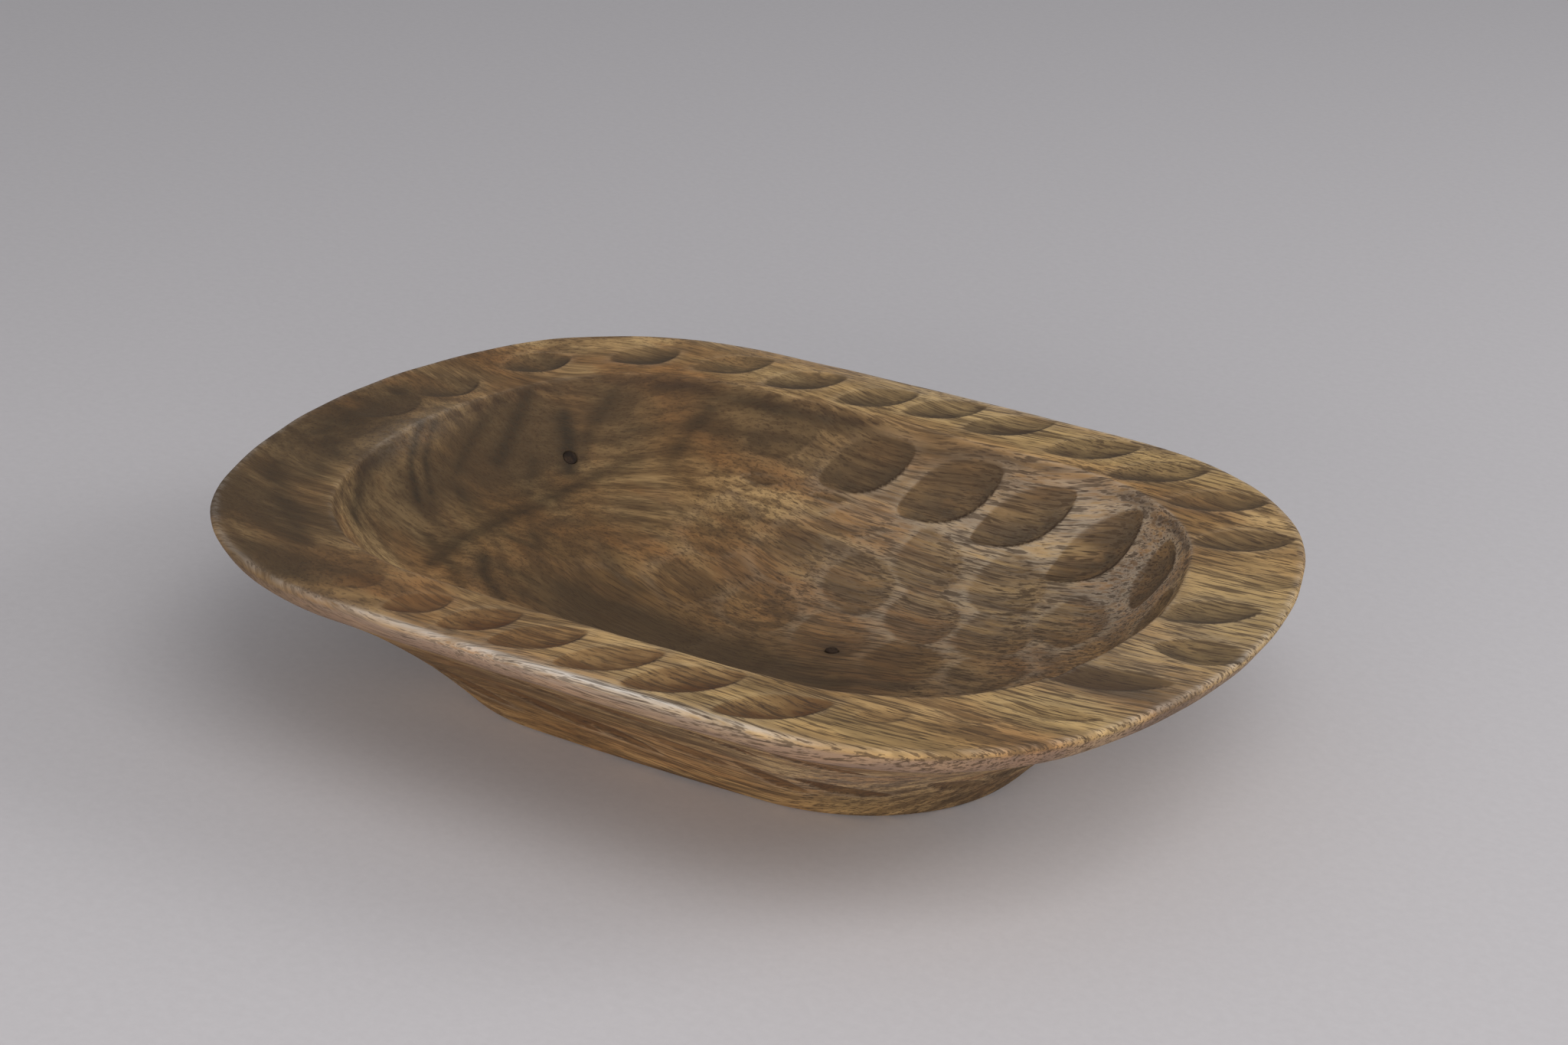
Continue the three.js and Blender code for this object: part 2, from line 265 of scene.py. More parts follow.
# Dark streaks of swirling grain in the -X end: the points that each passes through, its width and
# how strong it is.
STREAKS = (
    (((-161, 5, 74), (-155, -12, 63), (-145, -21, 51)), 3.2, 1.0),
    (((-160, 12, 71), (-154, -3, 61), (-145, -11, 51)), 2.4, 0.9),
    (((-150, 66, 71), (-146, 49, 59), (-143, 33, 51)), 5.0, 0.8),
    (((-136, 74, 60), (-131, 69, 52), (-127, 64, 46), (-125, 60, 43)), 6.5, 1.0),
    (
        ((-108, 84, 41), (-115, 70, 40), (-120, 38, 38), (-123, 14, 38), (-125, -20, 39), (-120, -48, 39)),
        5.0, 0.8,
    ),
    (((-112, -22, 36), (-104, -34, 34), (-93, -41, 33), (-80, -52, 33)), 4.0, 0.9),
    (((-155, 50, 70), (-152, 30, 62), (-148, 10, 52)), 3.0, 0.6),
    (((-159, -20, 70), (-155, -45, 68), (-140, -70, 62)), 6.0, 0.8),
    (((-88, 112, 62), (-93, 106, 54), (-95, 92, 42)), 5.0, 0.7),
    (((-142, 4, 47), (-122, -2, 38), (-104, 3, 33)), 3.6, 0.6),
    (((-135, 49, 48), (-123, 25, 39), (-108, 9, 34)), 3.6, 0.6),
    (((-132, -32, 42), (-113, -42, 37), (-98, -56, 35)), 4.4, 0.7),
    (((-126, 96, 66), (-127, 79, 54), (-124, 68, 45)), 4.0, 0.6),
    (((-112, 108, 70), (-88, 116, 69), (-60, 118, 68), (-24, 119, 69)), 5.0, 0.8),
    (((-90, 90, 38), (-60, 80, 33), (-20, 74, 30)), 3.0, 0.45),
    (((-84, 24, 28), (-70, 10, 27), (-58, 8, 25)), 7.0, 0.6),
    (((26, 14, 23), (30, 8, 23)), 7.0, 0.8),
    (((-186, 30, 74), (-182, 0, 74), (-184, -30, 74)), 9.0, 0.6),
    (((-190, -20, 74), (-172, -40, 74), (-160, -70, 74)), 8.0, 0.5),
    (((-178, -70, 74), (-150, -100, 74), (-126, -122, 74)), 6.0, 0.5),
)


def near_streaks(place):
    """How strongly the streaks darken each point, and how far it is from the nearest."""
    dark = np.zeros(len(place))
    apart = np.full(len(place), 99.0)
    for points, width, strength in STREAKS:
        away = np.full(len(place), 99.0)
        for first, second in zip(points, points[1:]):
            way = np.subtract(second, first)
            share = np.clip((place - first) @ way / (way @ way), 0, 1)
            away = np.minimum(away, np.linalg.norm(place - first - share[:, None] * way, axis=1))
        dark = np.maximum(dark, strength * np.exp(-(away / width) ** 2 * 1.6))
        apart = np.minimum(apart, away)
    return dark, apart


def frame_on_skin(turn, along, slant=None, heading=None):
    """Middle, stroke, sideways and outward directions of a tool set on the surface."""
    turn = np.array([turn % 1.0])
    along = np.array([float(along)])
    middle = skin(turn, along)[0]
    square = outward(turn, along)[0]
    if heading is None:
        ring = (skin((turn + 0.001) % 1, along) - skin((turn - 0.001) % 1, along))[0]
        ring /= np.linalg.norm(ring)
        across = np.cross(square, ring)
        stroke = ring * math.cos(math.radians(slant)) + across * math.sin(math.radians(slant))
    else:
        stroke = np.array([math.cos(math.radians(heading)), math.sin(math.radians(heading)), 0])
        stroke -= square * (stroke @ square)
        stroke /= np.linalg.norm(stroke)
    return middle, stroke, np.cross(square, stroke), square


form_turn, form_along = where_on_skin(bm)
form_place = skin(form_turn, form_along)


def on_top(x, y):
    """Place round the bowl and along the section of a point on the rim or in the basin."""
    apart = np.hypot(form_place[:, 0] - x, form_place[:, 1] - y) + 1000 * (form_along < 216)
    nearest = int(np.argmin(apart))
    return form_turn[nearest], form_along[nearest]


cuts = []
for kind, rows in (("rim", RIM_CUTS), ("wall", WALL_CUTS), ("floor", FLOOR_CUTS)):
    for x, y, length, width, depth, heading, lean in rows:
        tool = frame_on_skin(*on_top(x, y), heading=heading)
        cuts.append((kind, *tool, length / 2, width / 2, depth, lean))
for turn, along, length, width, depth, slant, lean in OUTSIDE_CUTS:
    tool = frame_on_skin(turn, along, slant=slant)
    cuts.append(("outside", *tool, length / 2, width / 2, depth, lean))
sockets = [(*frame_on_skin(*on_top(x, y), heading=0), radius, depth) for x, y, radius, depth in SOCKETS]

# How far off the surface a cut's tool reaches, and how square to it a surface has to lie.
TOOL_REACH = 11
TOOL_FACING = 0.35
# A cut shallower than this leaves no crisp edge. Nor does a scoop of the floor, whose edge falls off
# at this share of the others' rate.
CRISP_DEPTH = 0.5
FLOOR_SOFTNESS = 0.3
# How much of the wood that stands up between two cuts shows on the rim, which is rubbed smooth.
RIM_PROUD = 0.3
# Size of the mesh at the edge of each kind of cut, and of a cut with no crisp edge.
MESH_AT_EDGE = {"rim": 0.85, "wall": 1.0, "floor": 2.2, "outside": 1.5}
MESH_AT_SHALLOW = 3


def leaf(p, q):
    """How far out in a cut a place along and across it is: 0 in the middle and 1 at the edge. The
    cut narrows a little faster than an oval towards its ends."""
    narrowed = np.clip(1 - 0.42 * p ** 2, 0.3, 1)
    return np.maximum(np.hypot(p, q / narrowed), 1e-6)


def read_cuts(place, square):
    """Five numbers for each point: how deep the cuts are there, how much stain they hold (more on a cut's
    steep side, as painted shade), how far the wood stands up between two cuts, how much painted shade
    lies under a cut's lip, and how fine the mesh has to be."""
    count = len(place)
    deep = np.zeros(count)
    second = np.zeros(count)
    fill = np.zeros(count)
    proud = np.zeros(count)
    inside = np.full(count, -40.0)
    painted_lip_shade = np.zeros(count)
    fine = np.full(count, 6.0)
    for kind, middle, stroke, aside, up, half_length, half_width, depth, lean in cuts:
        offset = place - middle
        near = np.linalg.norm(offset, axis=1) < half_length * 1.3 + 6
        near &= np.abs(offset @ up) < TOOL_REACH
        near &= square @ up > TOOL_FACING
        here = np.nonzero(near)[0]
        soft = kind == "floor"

        # How far each point is inside the cut's edge, in millimetres.
        p = offset[here] @ stroke / half_length
        q = offset[here] @ aside / half_width
        m = leaf(p, q)
        steep = np.hypot(p / half_length, q / half_width) / m
        edge = np.minimum((1 - m) / np.maximum(steep, 1e-6), half_width)

        # The scoop leans, so that one side of it is steeper. Where cuts cross, the deepest counts,
        # and the next deepest shows where the two meet in a ridge.
        scoop = np.clip(1 - m ** 2, 0, 1)
        cut_depth = depth * scoop ** (1.35 if soft else 1.0) * (1 - lean * q)
        deeper = cut_depth > deep[here]
        second[here] = np.where(deeper, deep[here], np.maximum(second[here], cut_depth))
        deep[here] = np.where(deeper, cut_depth, deep[here])
        reach = np.exp(-np.maximum(m - 1, 0) ** 2 * 14) * min(depth / 1.5, 1)
        if kind == "rim":
            reach = reach * RIM_PROUD
        proud[here] = np.maximum(proud[here], reach)

        # Stain stays in a cut. The steep side is darkened more, and a dark line is painted under its lip:
        # painted shade where that side faces away from the light.
        graded = np.full_like(q, 1.1) if kind == "outside" else np.clip(0.95 - 0.4 * q, 0.5, 1.2)
        deep_wood = graded * np.clip(edge / 2.4 + 0.3, 0, 1) * min(depth / 1.2, 1)
        if soft:
            deep_wood = np.clip(edge / 3 + 0.2, 0, 1) * (0.5 if depth > 1.15 else 0.15)
            edge = edge * FLOOR_SOFTNESS
        fill[here] = np.maximum(fill[here], deep_wood)
        closer = edge > inside[here]
        inside[here] = np.where(closer, edge, inside[here])
        # A dark line of painted shade just inside the edge on the steep side, under the lip.
        shade = np.exp(-((edge - 0.8) / 0.8) ** 2) * np.clip(-q * 2 - 0.1, 0, 1) * min(depth / 1.5, 1.1)
        painted_lip_shade[here] = np.where(closer, shade * (0 if soft else 1), painted_lip_shade[here])

        # The mesh is finest at a crisp edge, and grows coarser away from it.
        detail = MESH_AT_SHALLOW if depth < CRISP_DEPTH else MESH_AT_EDGE[kind]
        size = detail + 0.55 * np.maximum(np.abs(edge) - 0.7, 0) / (FLOOR_SOFTNESS if soft else 1)
        fine[here] = np.minimum(fine[here], size)
    for middle, _, _, up, radius, _ in sockets:
        edge = np.abs(np.linalg.norm(place - middle, axis=1) - radius)
        fine = np.minimum(fine, 0.34 + 0.4 * np.maximum(edge - 0.4, 0))
    fine = np.minimum(fine, 2.0 + 0.3 * np.maximum(near_streaks(place)[1] - 5, 0))
    proud *= np.exp(-((deep - second) / 0.065) ** 2)
    return deep, fill, proud, painted_lip_shade, fine


# The form is cut finer near the edges of the cuts, so that they come out crisp.
FINER_ROUNDS = 4
for _ in range(FINER_ROUNDS):
    bm.verts.ensure_lookup_table()
    bm.edges.ensure_lookup_table()
    turn, along = where_on_skin(bm)
    place = skin(turn, along)
    fine = read_cuts(place, outward(turn, along))[4]
    ends = np.array([(e.verts[0].index, e.verts[1].index) for e in bm.edges])
    long = np.linalg.norm(place[ends[:, 0]] - place[ends[:, 1]], axis=1)
    wanted = np.minimum(fine[ends[:, 0]], fine[ends[:, 1]])
    chosen = [bm.edges[i] for i in np.nonzero(long > 1.4 * wanted)[0]]
    bmesh.ops.subdivide_edges(bm, edges=chosen, cuts=1, use_grid_fill=True)
    bm.verts.index_update()

turn, along = where_on_skin(bm)
place = skin(turn, along)
square = outward(turn, along)
pole_top = along > SECTION[-1] - 0.5
pole_under = along < 0.5
square[pole_top] = (0, 0, 1)
square[pole_under] = (0, 0, -1)

# Points close to a crisp edge are moved onto it.
SNAP_REACH = 0.36
for kind, middle, stroke, aside, up, half_length, half_width, depth, _ in cuts:
    if kind == "floor" or depth < CRISP_DEPTH:
        continue
    offset = place - middle
    p = offset @ stroke / half_length
    q = offset @ aside / half_width
    m = leaf(p, q)
    steep = np.hypot(p / half_length, q / half_width) / m
    close = np.abs(1 - m) / np.maximum(steep, 1e-6) < SNAP_REACH
    close &= (np.abs(offset @ up) < TOOL_REACH) & (square @ up > TOOL_FACING)
    shift = (1 / m - 1) * 0.9
    move = np.outer(p * half_length * shift, stroke) + np.outer(q * half_width * shift, aside)
    place[close] += move[close]
deep, fill, proud, painted_lip_shade, _ = read_cuts(place, square)

# Slow waves of the hand tool and the sander, everywhere but on the flat base.
WAVE_DEPTH = 0.14
wave = (
    np.sin(place[:, 0] * 0.16 + 1.3 * np.sin(place[:, 1] * 0.11))
    + np.sin(place[:, 1] * 0.19 + 1.1 * np.sin(place[:, 0] * 0.09) + place[:, 2] * 0.2)
)
off_base = np.clip((along - 101) / 10, 0, 1)
place -= square * ((deep + WAVE_DEPTH * (wave + 2) / 2) * off_base)[:, None]

# The sockets, with straight sides.
for middle, _, _, up, radius, depth in sockets:
    offset = place - middle
    height = offset @ up
    flat = offset - np.outer(height, up)
    away = np.linalg.norm(flat, axis=1)
    near = (away < radius + 2) & (np.abs(height) < 3)
    rim = near & (np.abs(away - radius) < 0.2)
    place[rim] += flat[rim] / away[rim][:, None] * (radius - away[rim])[:, None]
    well = near & (away <= radius - 0.2)
    place[well] -= up * depth

# No point goes outside the size that the block was sawn to.
low, high = (np.array(corner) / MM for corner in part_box("bowl_block"))
place = np.clip(place, low, high)

for v, at in zip(bm.verts, place * MM):
    v.co = at
block_mesh = bpy.data.meshes.new("carved_block")
bm.to_mesh(block_mesh)
bm.free()
block_mesh.shade_smooth()
carved_block = bpy.data.objects.new("carved_block", block_mesh)
bpy.context.scene.collection.objects.link(carved_block)


def store(mesh, name, values):
    """Keeps one number for each point of a mesh, for its material."""
    layer = mesh.attributes.new(name, "FLOAT", "POINT")
    layer.data.foreach_set("value", np.asarray(values, dtype=np.float32))


def close_to(line, reach):
    """1 on a line round the bowl, falling away from it over a reach along the section."""
    return np.exp(-((along - line) / reach) ** 2)


# What the cuts and the log left: stained hollows, rubbed ridges and swirling streaks. The hollows' steep
# sides are darker and their lips dark, as painted shade.
store(block_mesh, "hollow", fill)
store(block_mesh, "painted_lip_shade", painted_lip_shade)
store(block_mesh, "proud", proud)
store(block_mesh, "streak", near_streaks(place)[0])
# What handling left round the bowl: the rubbed arris of the rim and the edge band under it. Darker
# lines run round the foot of the band and, fainter, just inside the mouth.
store(block_mesh, "arris", close_to(216.5, 1.6) + 0.35 * close_to(256.4, 1.1))
store(block_mesh, "band", np.clip((along - 199.5) / 1.5, 0, 1) * np.clip((214 - along) / 2, 0, 1))
store(block_mesh, "seam", close_to(199.2, 1.4) + 0.5 * close_to(260, 2.2))

# Colour that the log and the maker's stain left in broad patches: middle x, y, z, how far it reaches
# along each, and how strong it is. Sapwood is yellow, heartwood is orange, smoke is a dark olive
# stain, and lime is the pale wax that stays on worn wood. Two smoke patches, on the near floor and
# the near wall, are painted shade as well as stain.
SAPWOOD = (
    (165, -92, 74, 30, 14, 20, 1.0), (96, -86, 4, 26, 16, 10, 1.0),
    (192, 30, 72, 34, 60, 30, 0.9), (90, -146, 75, 70, 20, 8, 0.35),
    (70, 146, 75, 130, 20, 8, 0.7), (90, -146, 75, 90, 22, 8, 0.6),
    (150, -30, 60, 20, 30, 26, 0.3), (-70, 150, 75, 50, 20, 10, 0.3),
)
ORANGE = (
    (-50, -146, 75, 90, 22, 8, 0.75), (98, 22, 32, 26, 26, 14, 0.9),
    (66, -10, 23, 66, 46, 14, 1.0), (-20, 46, 26, 60, 44, 14, 0.6),
    (44, 30, 24, 30, 24, 12, 0.8), (140, 60, 60, 24, 34, 20, 0.7),
    (152, -10, 56, 22, 50, 30, 1.0), (-66, -150, 73, 50, 14, 8, 0.7),
    (150, -128, 70, 50, 34, 6, 0.6), (-90, 104, 56, 40, 16, 20, 0.6),
    (186, 74, 75, 24, 30, 10, 0.5), (-178, 62, 75, 30, 40, 8, 0.5),
    (-40, 104, 50, 40, 20, 14, 0.5), (-150, 30, 46, 20, 24, 18, 0.4),
)
# Dark olive stain. The long patch across the near floor, at (-20, -24), and the one on the near wall, at
# (-50, -110), also paint the shade beyond the near mouth edge.
SMOKE_AND_SHADE = (
    (-184, -30, 75, 44, 100, 12, 1.15), (-146, -108, 75, 54, 40, 12, 1.2),
    (-176, -84, 75, 30, 36, 12, 1.1), (-176, 50, 75, 24, 40, 12, 0.7),
    (-150, -10, 52, 34, 110, 26, 1.2), (-142, 40, 56, 30, 64, 30, 1.5),
    (-30, 72, 30, 60, 26, 14, 0.5), (-80, -20, 26, 60, 40, 16, 0.6),
    (-20, -24, 24, 120, 30, 20, 1.5), (166, -56, 74, 28, 13, 10, 1.3),
    (-160, 60, 75, 40, 50, 12, 0.5), (20, 116, 66, 60, 12, 14, 0.7),
    (-50, -110, 50, 130, 30, 30, 0.8), (-122, -142, 75, 46, 24, 10, 1.3),
    (-172, -104, 75, 34, 34, 12, 1.4), (-120, 88, 60, 40, 30, 24, 1.2),
    (-70, 112, 60, 64, 18, 22, 1.1), (-16, 116, 64, 44, 10, 12, 0.8),
    (110, -80, 10, 30, 30, 22, 0.7), (120, -50, 10, 22, 40, 20, 0.8),
    (-100, 20, 38, 40, 80, 16, 0.8), (-30, 40, 26, 80, 50, 14, 0.4),
)
LIME = (
    (122, 78, 50, 40, 34, 34, 1.0), (90, 106, 60, 50, 20, 22, 1.0),
    (60, 98, 46, 60, 24, 18, 0.9), (60, 62, 30, 60, 40, 14, 0.6),
    (20, -165, 74, 90, 6, 4, 1.0), (176, -20, 75, 40, 60, 8, 0.35),
    (96, -104, 40, 40, 20, 26, 0.5), (-20, 160, 74, 120, 8, 6, 0.4),
    (100, 30, 34, 40, 40, 18, 0.35), (-160, -2, 72, 8, 30, 6, 0.3),
)
# A patch set lower than this leaves the top of the rim alone, which lies between these two lines.
RIM_PATCH_HEIGHT = 70
RIM_FROM = 214
RIM_TO = 256.6


def painted(patches):
    """How strongly a set of soft patches covers each point of the block."""
    cover = np.zeros(len(place))
    for x, y, z, reach_x, reach_y, reach_z, strength in patches:
        apart = (place - (x, y, z)) / (reach_x, reach_y, reach_z)
        taken = (along < RIM_FROM) | (along > RIM_TO) if z < RIM_PATCH_HEIGHT else 1
        cover = np.maximum(cover, strength * np.exp(-(apart ** 2).sum(1) * 0.9) * taken)
    return cover


store(block_mesh, "sapwood", painted(SAPWOOD))
store(block_mesh, "orange", painted(ORANGE))
store(block_mesh, "smoke_and_shade", painted(SMOKE_AND_SHADE))
store(block_mesh, "lime", painted(LIME))


def add(tree, kind, *links, **settings):
    """A node of a material, with its settings, and what goes into each of its numbered inputs."""
    made = tree.nodes.new("ShaderNode" + kind)
    for name, value in settings.items():
        setattr(made, name, value)
    for socket, value in links:
        if isinstance(value, bpy.types.NodeSocket):
            tree.links.new(value, made.inputs[socket])
        else:
            made.inputs[socket].default_value = value
    return made


def figure(tree, where, size, stretch=(1, 1, 1), detail=3, rough=0.55):
    """A cloudy pattern from 0 to 1. size is its pitch in metres, and stretch draws it out."""
    scaled = add(tree, "VectorMath", (0, where), (1, tuple(1 / (size * k) for k in stretch)),
                 operation="MULTIPLY").outputs[0]
    return add(tree, "TexNoise", ("Vector", scaled), ("Scale", 1.0), ("Detail", detail),
               ("Roughness", rough)).outputs["Fac"]


def between(tree, value, low, high, to_low=0.0, to_high=1.0):
    """The value taken from one range to another, and kept inside it."""
    return add(tree, "MapRange", ("Value", value), ("From Min", low), ("From Max", high),
               ("To Min", to_low), ("To Max", to_high)).outputs[0]


def times(tree, one, other):
    """The product of two values."""
    return add(tree, "Math", (0, one), (1, other), operation="MULTIPLY").outputs[0]


def plus(tree, one, other):
    """The sum of two values."""
    return add(tree, "Math", (0, one), (1, other), operation="ADD").outputs[0]


def tint(tree, under, share, over):
    """A colour laid over another, by a share of 0 to 1."""
    mixed = add(tree, "Mix", (0, share), (6, under), (7, over), data_type="RGBA")
    return mixed.outputs[2]


def kept(tree, name):
    """A number that store kept for each point of the mesh."""
    return add(tree, "Attribute", attribute_name=name).outputs["Fac"]


# Colours of the wood itself.
BROWN_WOOD = (0.33, 0.183, 0.068, 1)
PALE_WOOD = (0.62, 0.405, 0.180, 1)
RED_WOOD = (0.38, 0.175, 0.058, 1)
SAP_GOLD = (0.72, 0.50, 0.21, 1)
SAP_STRAW = (0.68, 0.47, 0.195, 1)
HEART_ORANGE = (0.36, 0.155, 0.048, 1)
LATE_BROWN = (0.15, 0.080, 0.034, 1)
FLAME_BROWN = (0.115, 0.064, 0.028, 1)
VEIN_BROWN = (0.12, 0.062, 0.026, 1)
GRAIN_BLACK = (0.080, 0.048, 0.026, 1)
PORE_BLACK = (0.05, 0.03, 0.02, 1)
STREAK_BLACK = (0.036, 0.026, 0.016, 1)
# Colours of the stain, which also carries painted shade, of the pale wax and of rubbed wood; painted shade
# under the cuts' lips; and dark lines at the band's foot and inside the mouth.
SMOKE_STAIN_AND_SHADE = (0.078, 0.049, 0.025, 1)
RED_STAIN_AND_SHADE = (0.120, 0.052, 0.019, 1)
OLIVE_STAIN_AND_SHADE = (0.088, 0.058, 0.032, 1)
BAND_TAUPE = (0.30, 0.205, 0.160, 1)
LIME_WAX = (0.50, 0.42, 0.33, 1)
RUBBED_WOOD = (0.47, 0.375, 0.26, 1)
RUBBED_ARRIS = (0.66, 0.60, 0.53, 1)
LIP_SHADE = (0.040, 0.024, 0.015, 1)
SEAM_DARK = (0.040, 0.024, 0.017, 1)

wood = bpy.data.materials.new("carved_hardwood")
wood.use_nodes = True
tree = wood.node_tree
shader = tree.nodes["Principled BSDF"]
here = add(tree, "TexCoord").outputs["Object"]
x_here, y_here = add(tree, "SeparateXYZ", (0, here)).outputs[:2]

# The grain runs along the bowl, and swirls at the -X end, where the log had a crotch.
swirled = between(tree, x_here, 0.03, -0.13, 0.25, 1.0)
calm = between(tree, x_here, 0.05, -0.08, 1.0, 0.6)
cloud = add(tree, "TexNoise", ("Vector", here), ("Scale", 8.0), ("Detail", 0.6)).outputs["Color"]
pull = add(tree, "VectorMath", (0, cloud), (1, (0.5, 0.5, 0.5)), operation="SUBTRACT").outputs[0]
pull = add(tree, "VectorMath", (0, pull), (1, (0.03, 0.13, 0.13)), operation="MULTIPLY").outputs[0]
pull = add(tree, "VectorMath", (0, pull), ("Scale", swirled), operation="SCALE").outputs[0]
grain_at = add(tree, "VectorMath", (0, here), (1, pull), operation="ADD").outputs[0]

# Growth rings round a pith that ran under the bowl, tipped a little to its length.
from_pith = add(tree, "Mapping", (0, grain_at), (1, (0.0, -0.02, 0.06)), (2, (0.0, 0.09, 0.05)),
                (3, (0.5, 1.0, 1.0))).outputs[0]
ring_wave = add(tree, "TexWave", ("Vector", from_pith), ("Scale", 26.0), ("Distortion", 5.0),
                ("Detail", 3.0), ("Detail Scale", 2.0), ("Detail Roughness", 0.62),
                wave_type="RINGS", rings_direction="X", wave_profile="SIN").outputs["Fac"]
late_wood = between(tree, ring_wave, 0.55, 0.95)
streaks = figure(tree, grain_at, 0.0050, (13, 1, 1), detail=4, rough=0.6)
lines = figure(tree, grain_at, 0.0015, (22, 1, 1), detail=3, rough=0.6)
pores = figure(tree, grain_at, 0.0008, (10, 1, 1), detail=1, rough=0.5)
blotch = figure(tree, here, 0.055, (1.6, 1, 1), detail=3, rough=0.55)
mottle = figure(tree, here, 0.013, (1.5, 1, 1), detail=4, rough=0.65)
warm = figure(tree, here, 0.028, (2.2, 1, 1), detail=3, rough=0.6)
swirls = figure(tree, grain_at, 0.010, (5, 1, 1), detail=4, rough=0.62)

# The wood: brown to pale in blotches, with gold sapwood, orange heartwood and dark figure.
fresh = between(tree, blotch, 0.40, 0.60)
colour = tint(tree, BROWN_WOOD, fresh, PALE_WOOD)
colour = tint(tree, colour, times(tree, between(tree, warm, 0.47, 0.60), 0.6), RED_WOOD)
colour = tint(tree, colour, times(tree, kept(tree, "sapwood"), 0.6), SAP_GOLD)
glow = times(tree, kept(tree, "orange"), between(tree, warm, 0.34, 0.56, 0.3, 1.0))
colour = tint(tree, colour, times(tree, glow, 0.8), HEART_ORANGE)
colour = tint(tree, colour, times(tree, late_wood, 0.5), LATE_BROWN)
flames = times(tree, between(tree, swirls, 0.49, 0.62, 0.0, 0.6), between(tree, calm, 0.3, 1.0, 0.6, 1.0))
colour = tint(tree, colour, flames, FLAME_BROWN)
veins = times(tree, between(tree, streaks, 0.50, 0.60, 0.0, 0.65), calm)
colour = tint(tree, colour, veins, VEIN_BROWN)
colour = tint(tree, colour, times(tree, kept(tree, "sapwood"), 0.5), SAP_STRAW)

# The stain: a greyed edge band, smoky patches, dark streaks and dark hollows, redder at the front. Two
# smoky patches also paint shade on the near wall and near floor, and the hollows' steep sides carry
# painted shade.
colour = tint(tree, colour, times(tree, kept(tree, "band"), 0.6), BAND_TAUPE)
# Smoke stain, which on the near floor and the near wall also stands for painted shade.
smoke_and_shade = times(tree, kept(tree, "smoke_and_shade"), between(tree, swirls, 0.36, 0.64, 0.8, 1.0))
colour = tint(tree, colour, between(tree, smoke_and_shade, 0.0, 1.05, 0.0, 0.93), SMOKE_STAIN_AND_SHADE)
colour = tint(tree, colour, times(tree, kept(tree, "streak"), 0.9), STREAK_BLACK)
hollow = times(tree, kept(tree, "hollow"), between(tree, mottle, 0.34, 0.60, 0.6, 1.0))
from_front = between(tree, y_here, -0.11, -0.04)
stain_and_shade = tint(tree, RED_STAIN_AND_SHADE, from_front, OLIVE_STAIN_AND_SHADE)
# Dark stain in the hollows, with painted shade on their steep sides.
colour = tint(tree, colour, times(tree, hollow, 0.9), stain_and_shade)

# The pale wax, caught in the grain, and the ridges and arrises that hands have rubbed pale.
lime = times(tree, kept(tree, "lime"), between(tree, lines, 0.40, 0.58, 0.2, 1.0))
open_wood = between(tree, kept(tree, "hollow"), 0.25, 0.7, 1.0, 0.15)
colour = tint(tree, colour, times(tree, times(tree, lime, open_wood), 0.85), LIME_WAX)
proud = times(tree, kept(tree, "proud"), between(tree, mottle, 0.35, 0.6, 0.3, 1.0))
proud = times(tree, proud, between(tree, kept(tree, "smoke_and_shade"), 0.1, 0.7, 0.55, 0.05))
colour = tint(tree, colour, proud, RUBBED_WOOD)
worn = times(tree, kept(tree, "arris"), between(tree, streaks, 0.38, 0.62, 1.0, 0.1))
worn = times(tree, worn, plus(tree, times(tree, kept(tree, "lime"), 0.8), 0.2))
colour = tint(tree, colour, worn, RUBBED_ARRIS)

# Fine dark grain and pores over all of it, painted shade under the lips, and dark lines at the foot of the
# band and just inside the mouth.
grain_dark = times(tree, between(tree, lines, 0.525, 0.575, 0.0, 0.75), calm)
colour = tint(tree, colour, grain_dark, GRAIN_BLACK)
pits = times(tree, between(tree, pores, 0.60, 0.68, 0.0, 0.6), calm)
colour = tint(tree, colour, pits, PORE_BLACK)
# Painted shade under the lips of the cuts.
colour = tint(tree, colour, times(tree, kept(tree, "painted_lip_shade"), 0.9), LIP_SHADE)
# A dark line at the foot of the band and a fainter one just inside the mouth.
seam = times(tree, kept(tree, "seam"), between(tree, streaks, 0.36, 0.56, 0.3, 1.0))
colour = tint(tree, colour, seam, SEAM_DARK)
tree.links.new(colour, shader.inputs["Base Color"])

# A dull waxed surface, with the grain and pores sunk a little.
rough = between(tree, lines, 0.3, 0.7, 0.66, 0.86)
tree.links.new(rough, shader.inputs["Roughness"])
shader.inputs["Specular IOR Level"].default_value = 0.22
relief = plus(tree, times(tree, lines, -0.5), times(tree, between(tree, pores, 0.55, 0.72), -0.5))
relief = plus(tree, relief, times(tree, mottle, 0.9))
bump = add(tree, "Bump", ("Strength", 0.5), ("Distance", 0.0006), ("Height", relief)).outputs[0]
tree.links.new(bump, shader.inputs["Normal"])

block_mesh.materials.append(wood)
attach(carved_block, "root")
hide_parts("bowl_block")

# ---- Dead knots ----
# Two stubs of branch that the trunk grew round. Each is a dark, hard, tapered plug that sits loose in
# its own socket, worn level with the basin and checked from its middle.
KNOT_BLACK = (0.020, 0.013, 0.009, 1)
KNOT_BROWN = (0.050, 0.030, 0.018, 1)
FLECK_BLACK = (0.012, 0.008, 0.006, 1)
knot_wood = bpy.data.materials.new("dead_knot")
knot_wood.use_nodes = True
tree = knot_wood.node_tree
shader = tree.nodes["Principled BSDF"]
here = add(tree, "TexCoord").outputs["Object"]
flecks = figure(tree, here, 0.0012, detail=4, rough=0.65)
clouds = figure(tree, here, 0.0035, detail=2)
colour = tint(tree, KNOT_BLACK, between(tree, clouds, 0.4, 0.65), KNOT_BROWN)
colour = tint(tree, colour, times(tree, between(tree, flecks, 0.55, 0.7), 0.7), FLECK_BLACK)
tree.links.new(colour, shader.inputs["Base Color"])
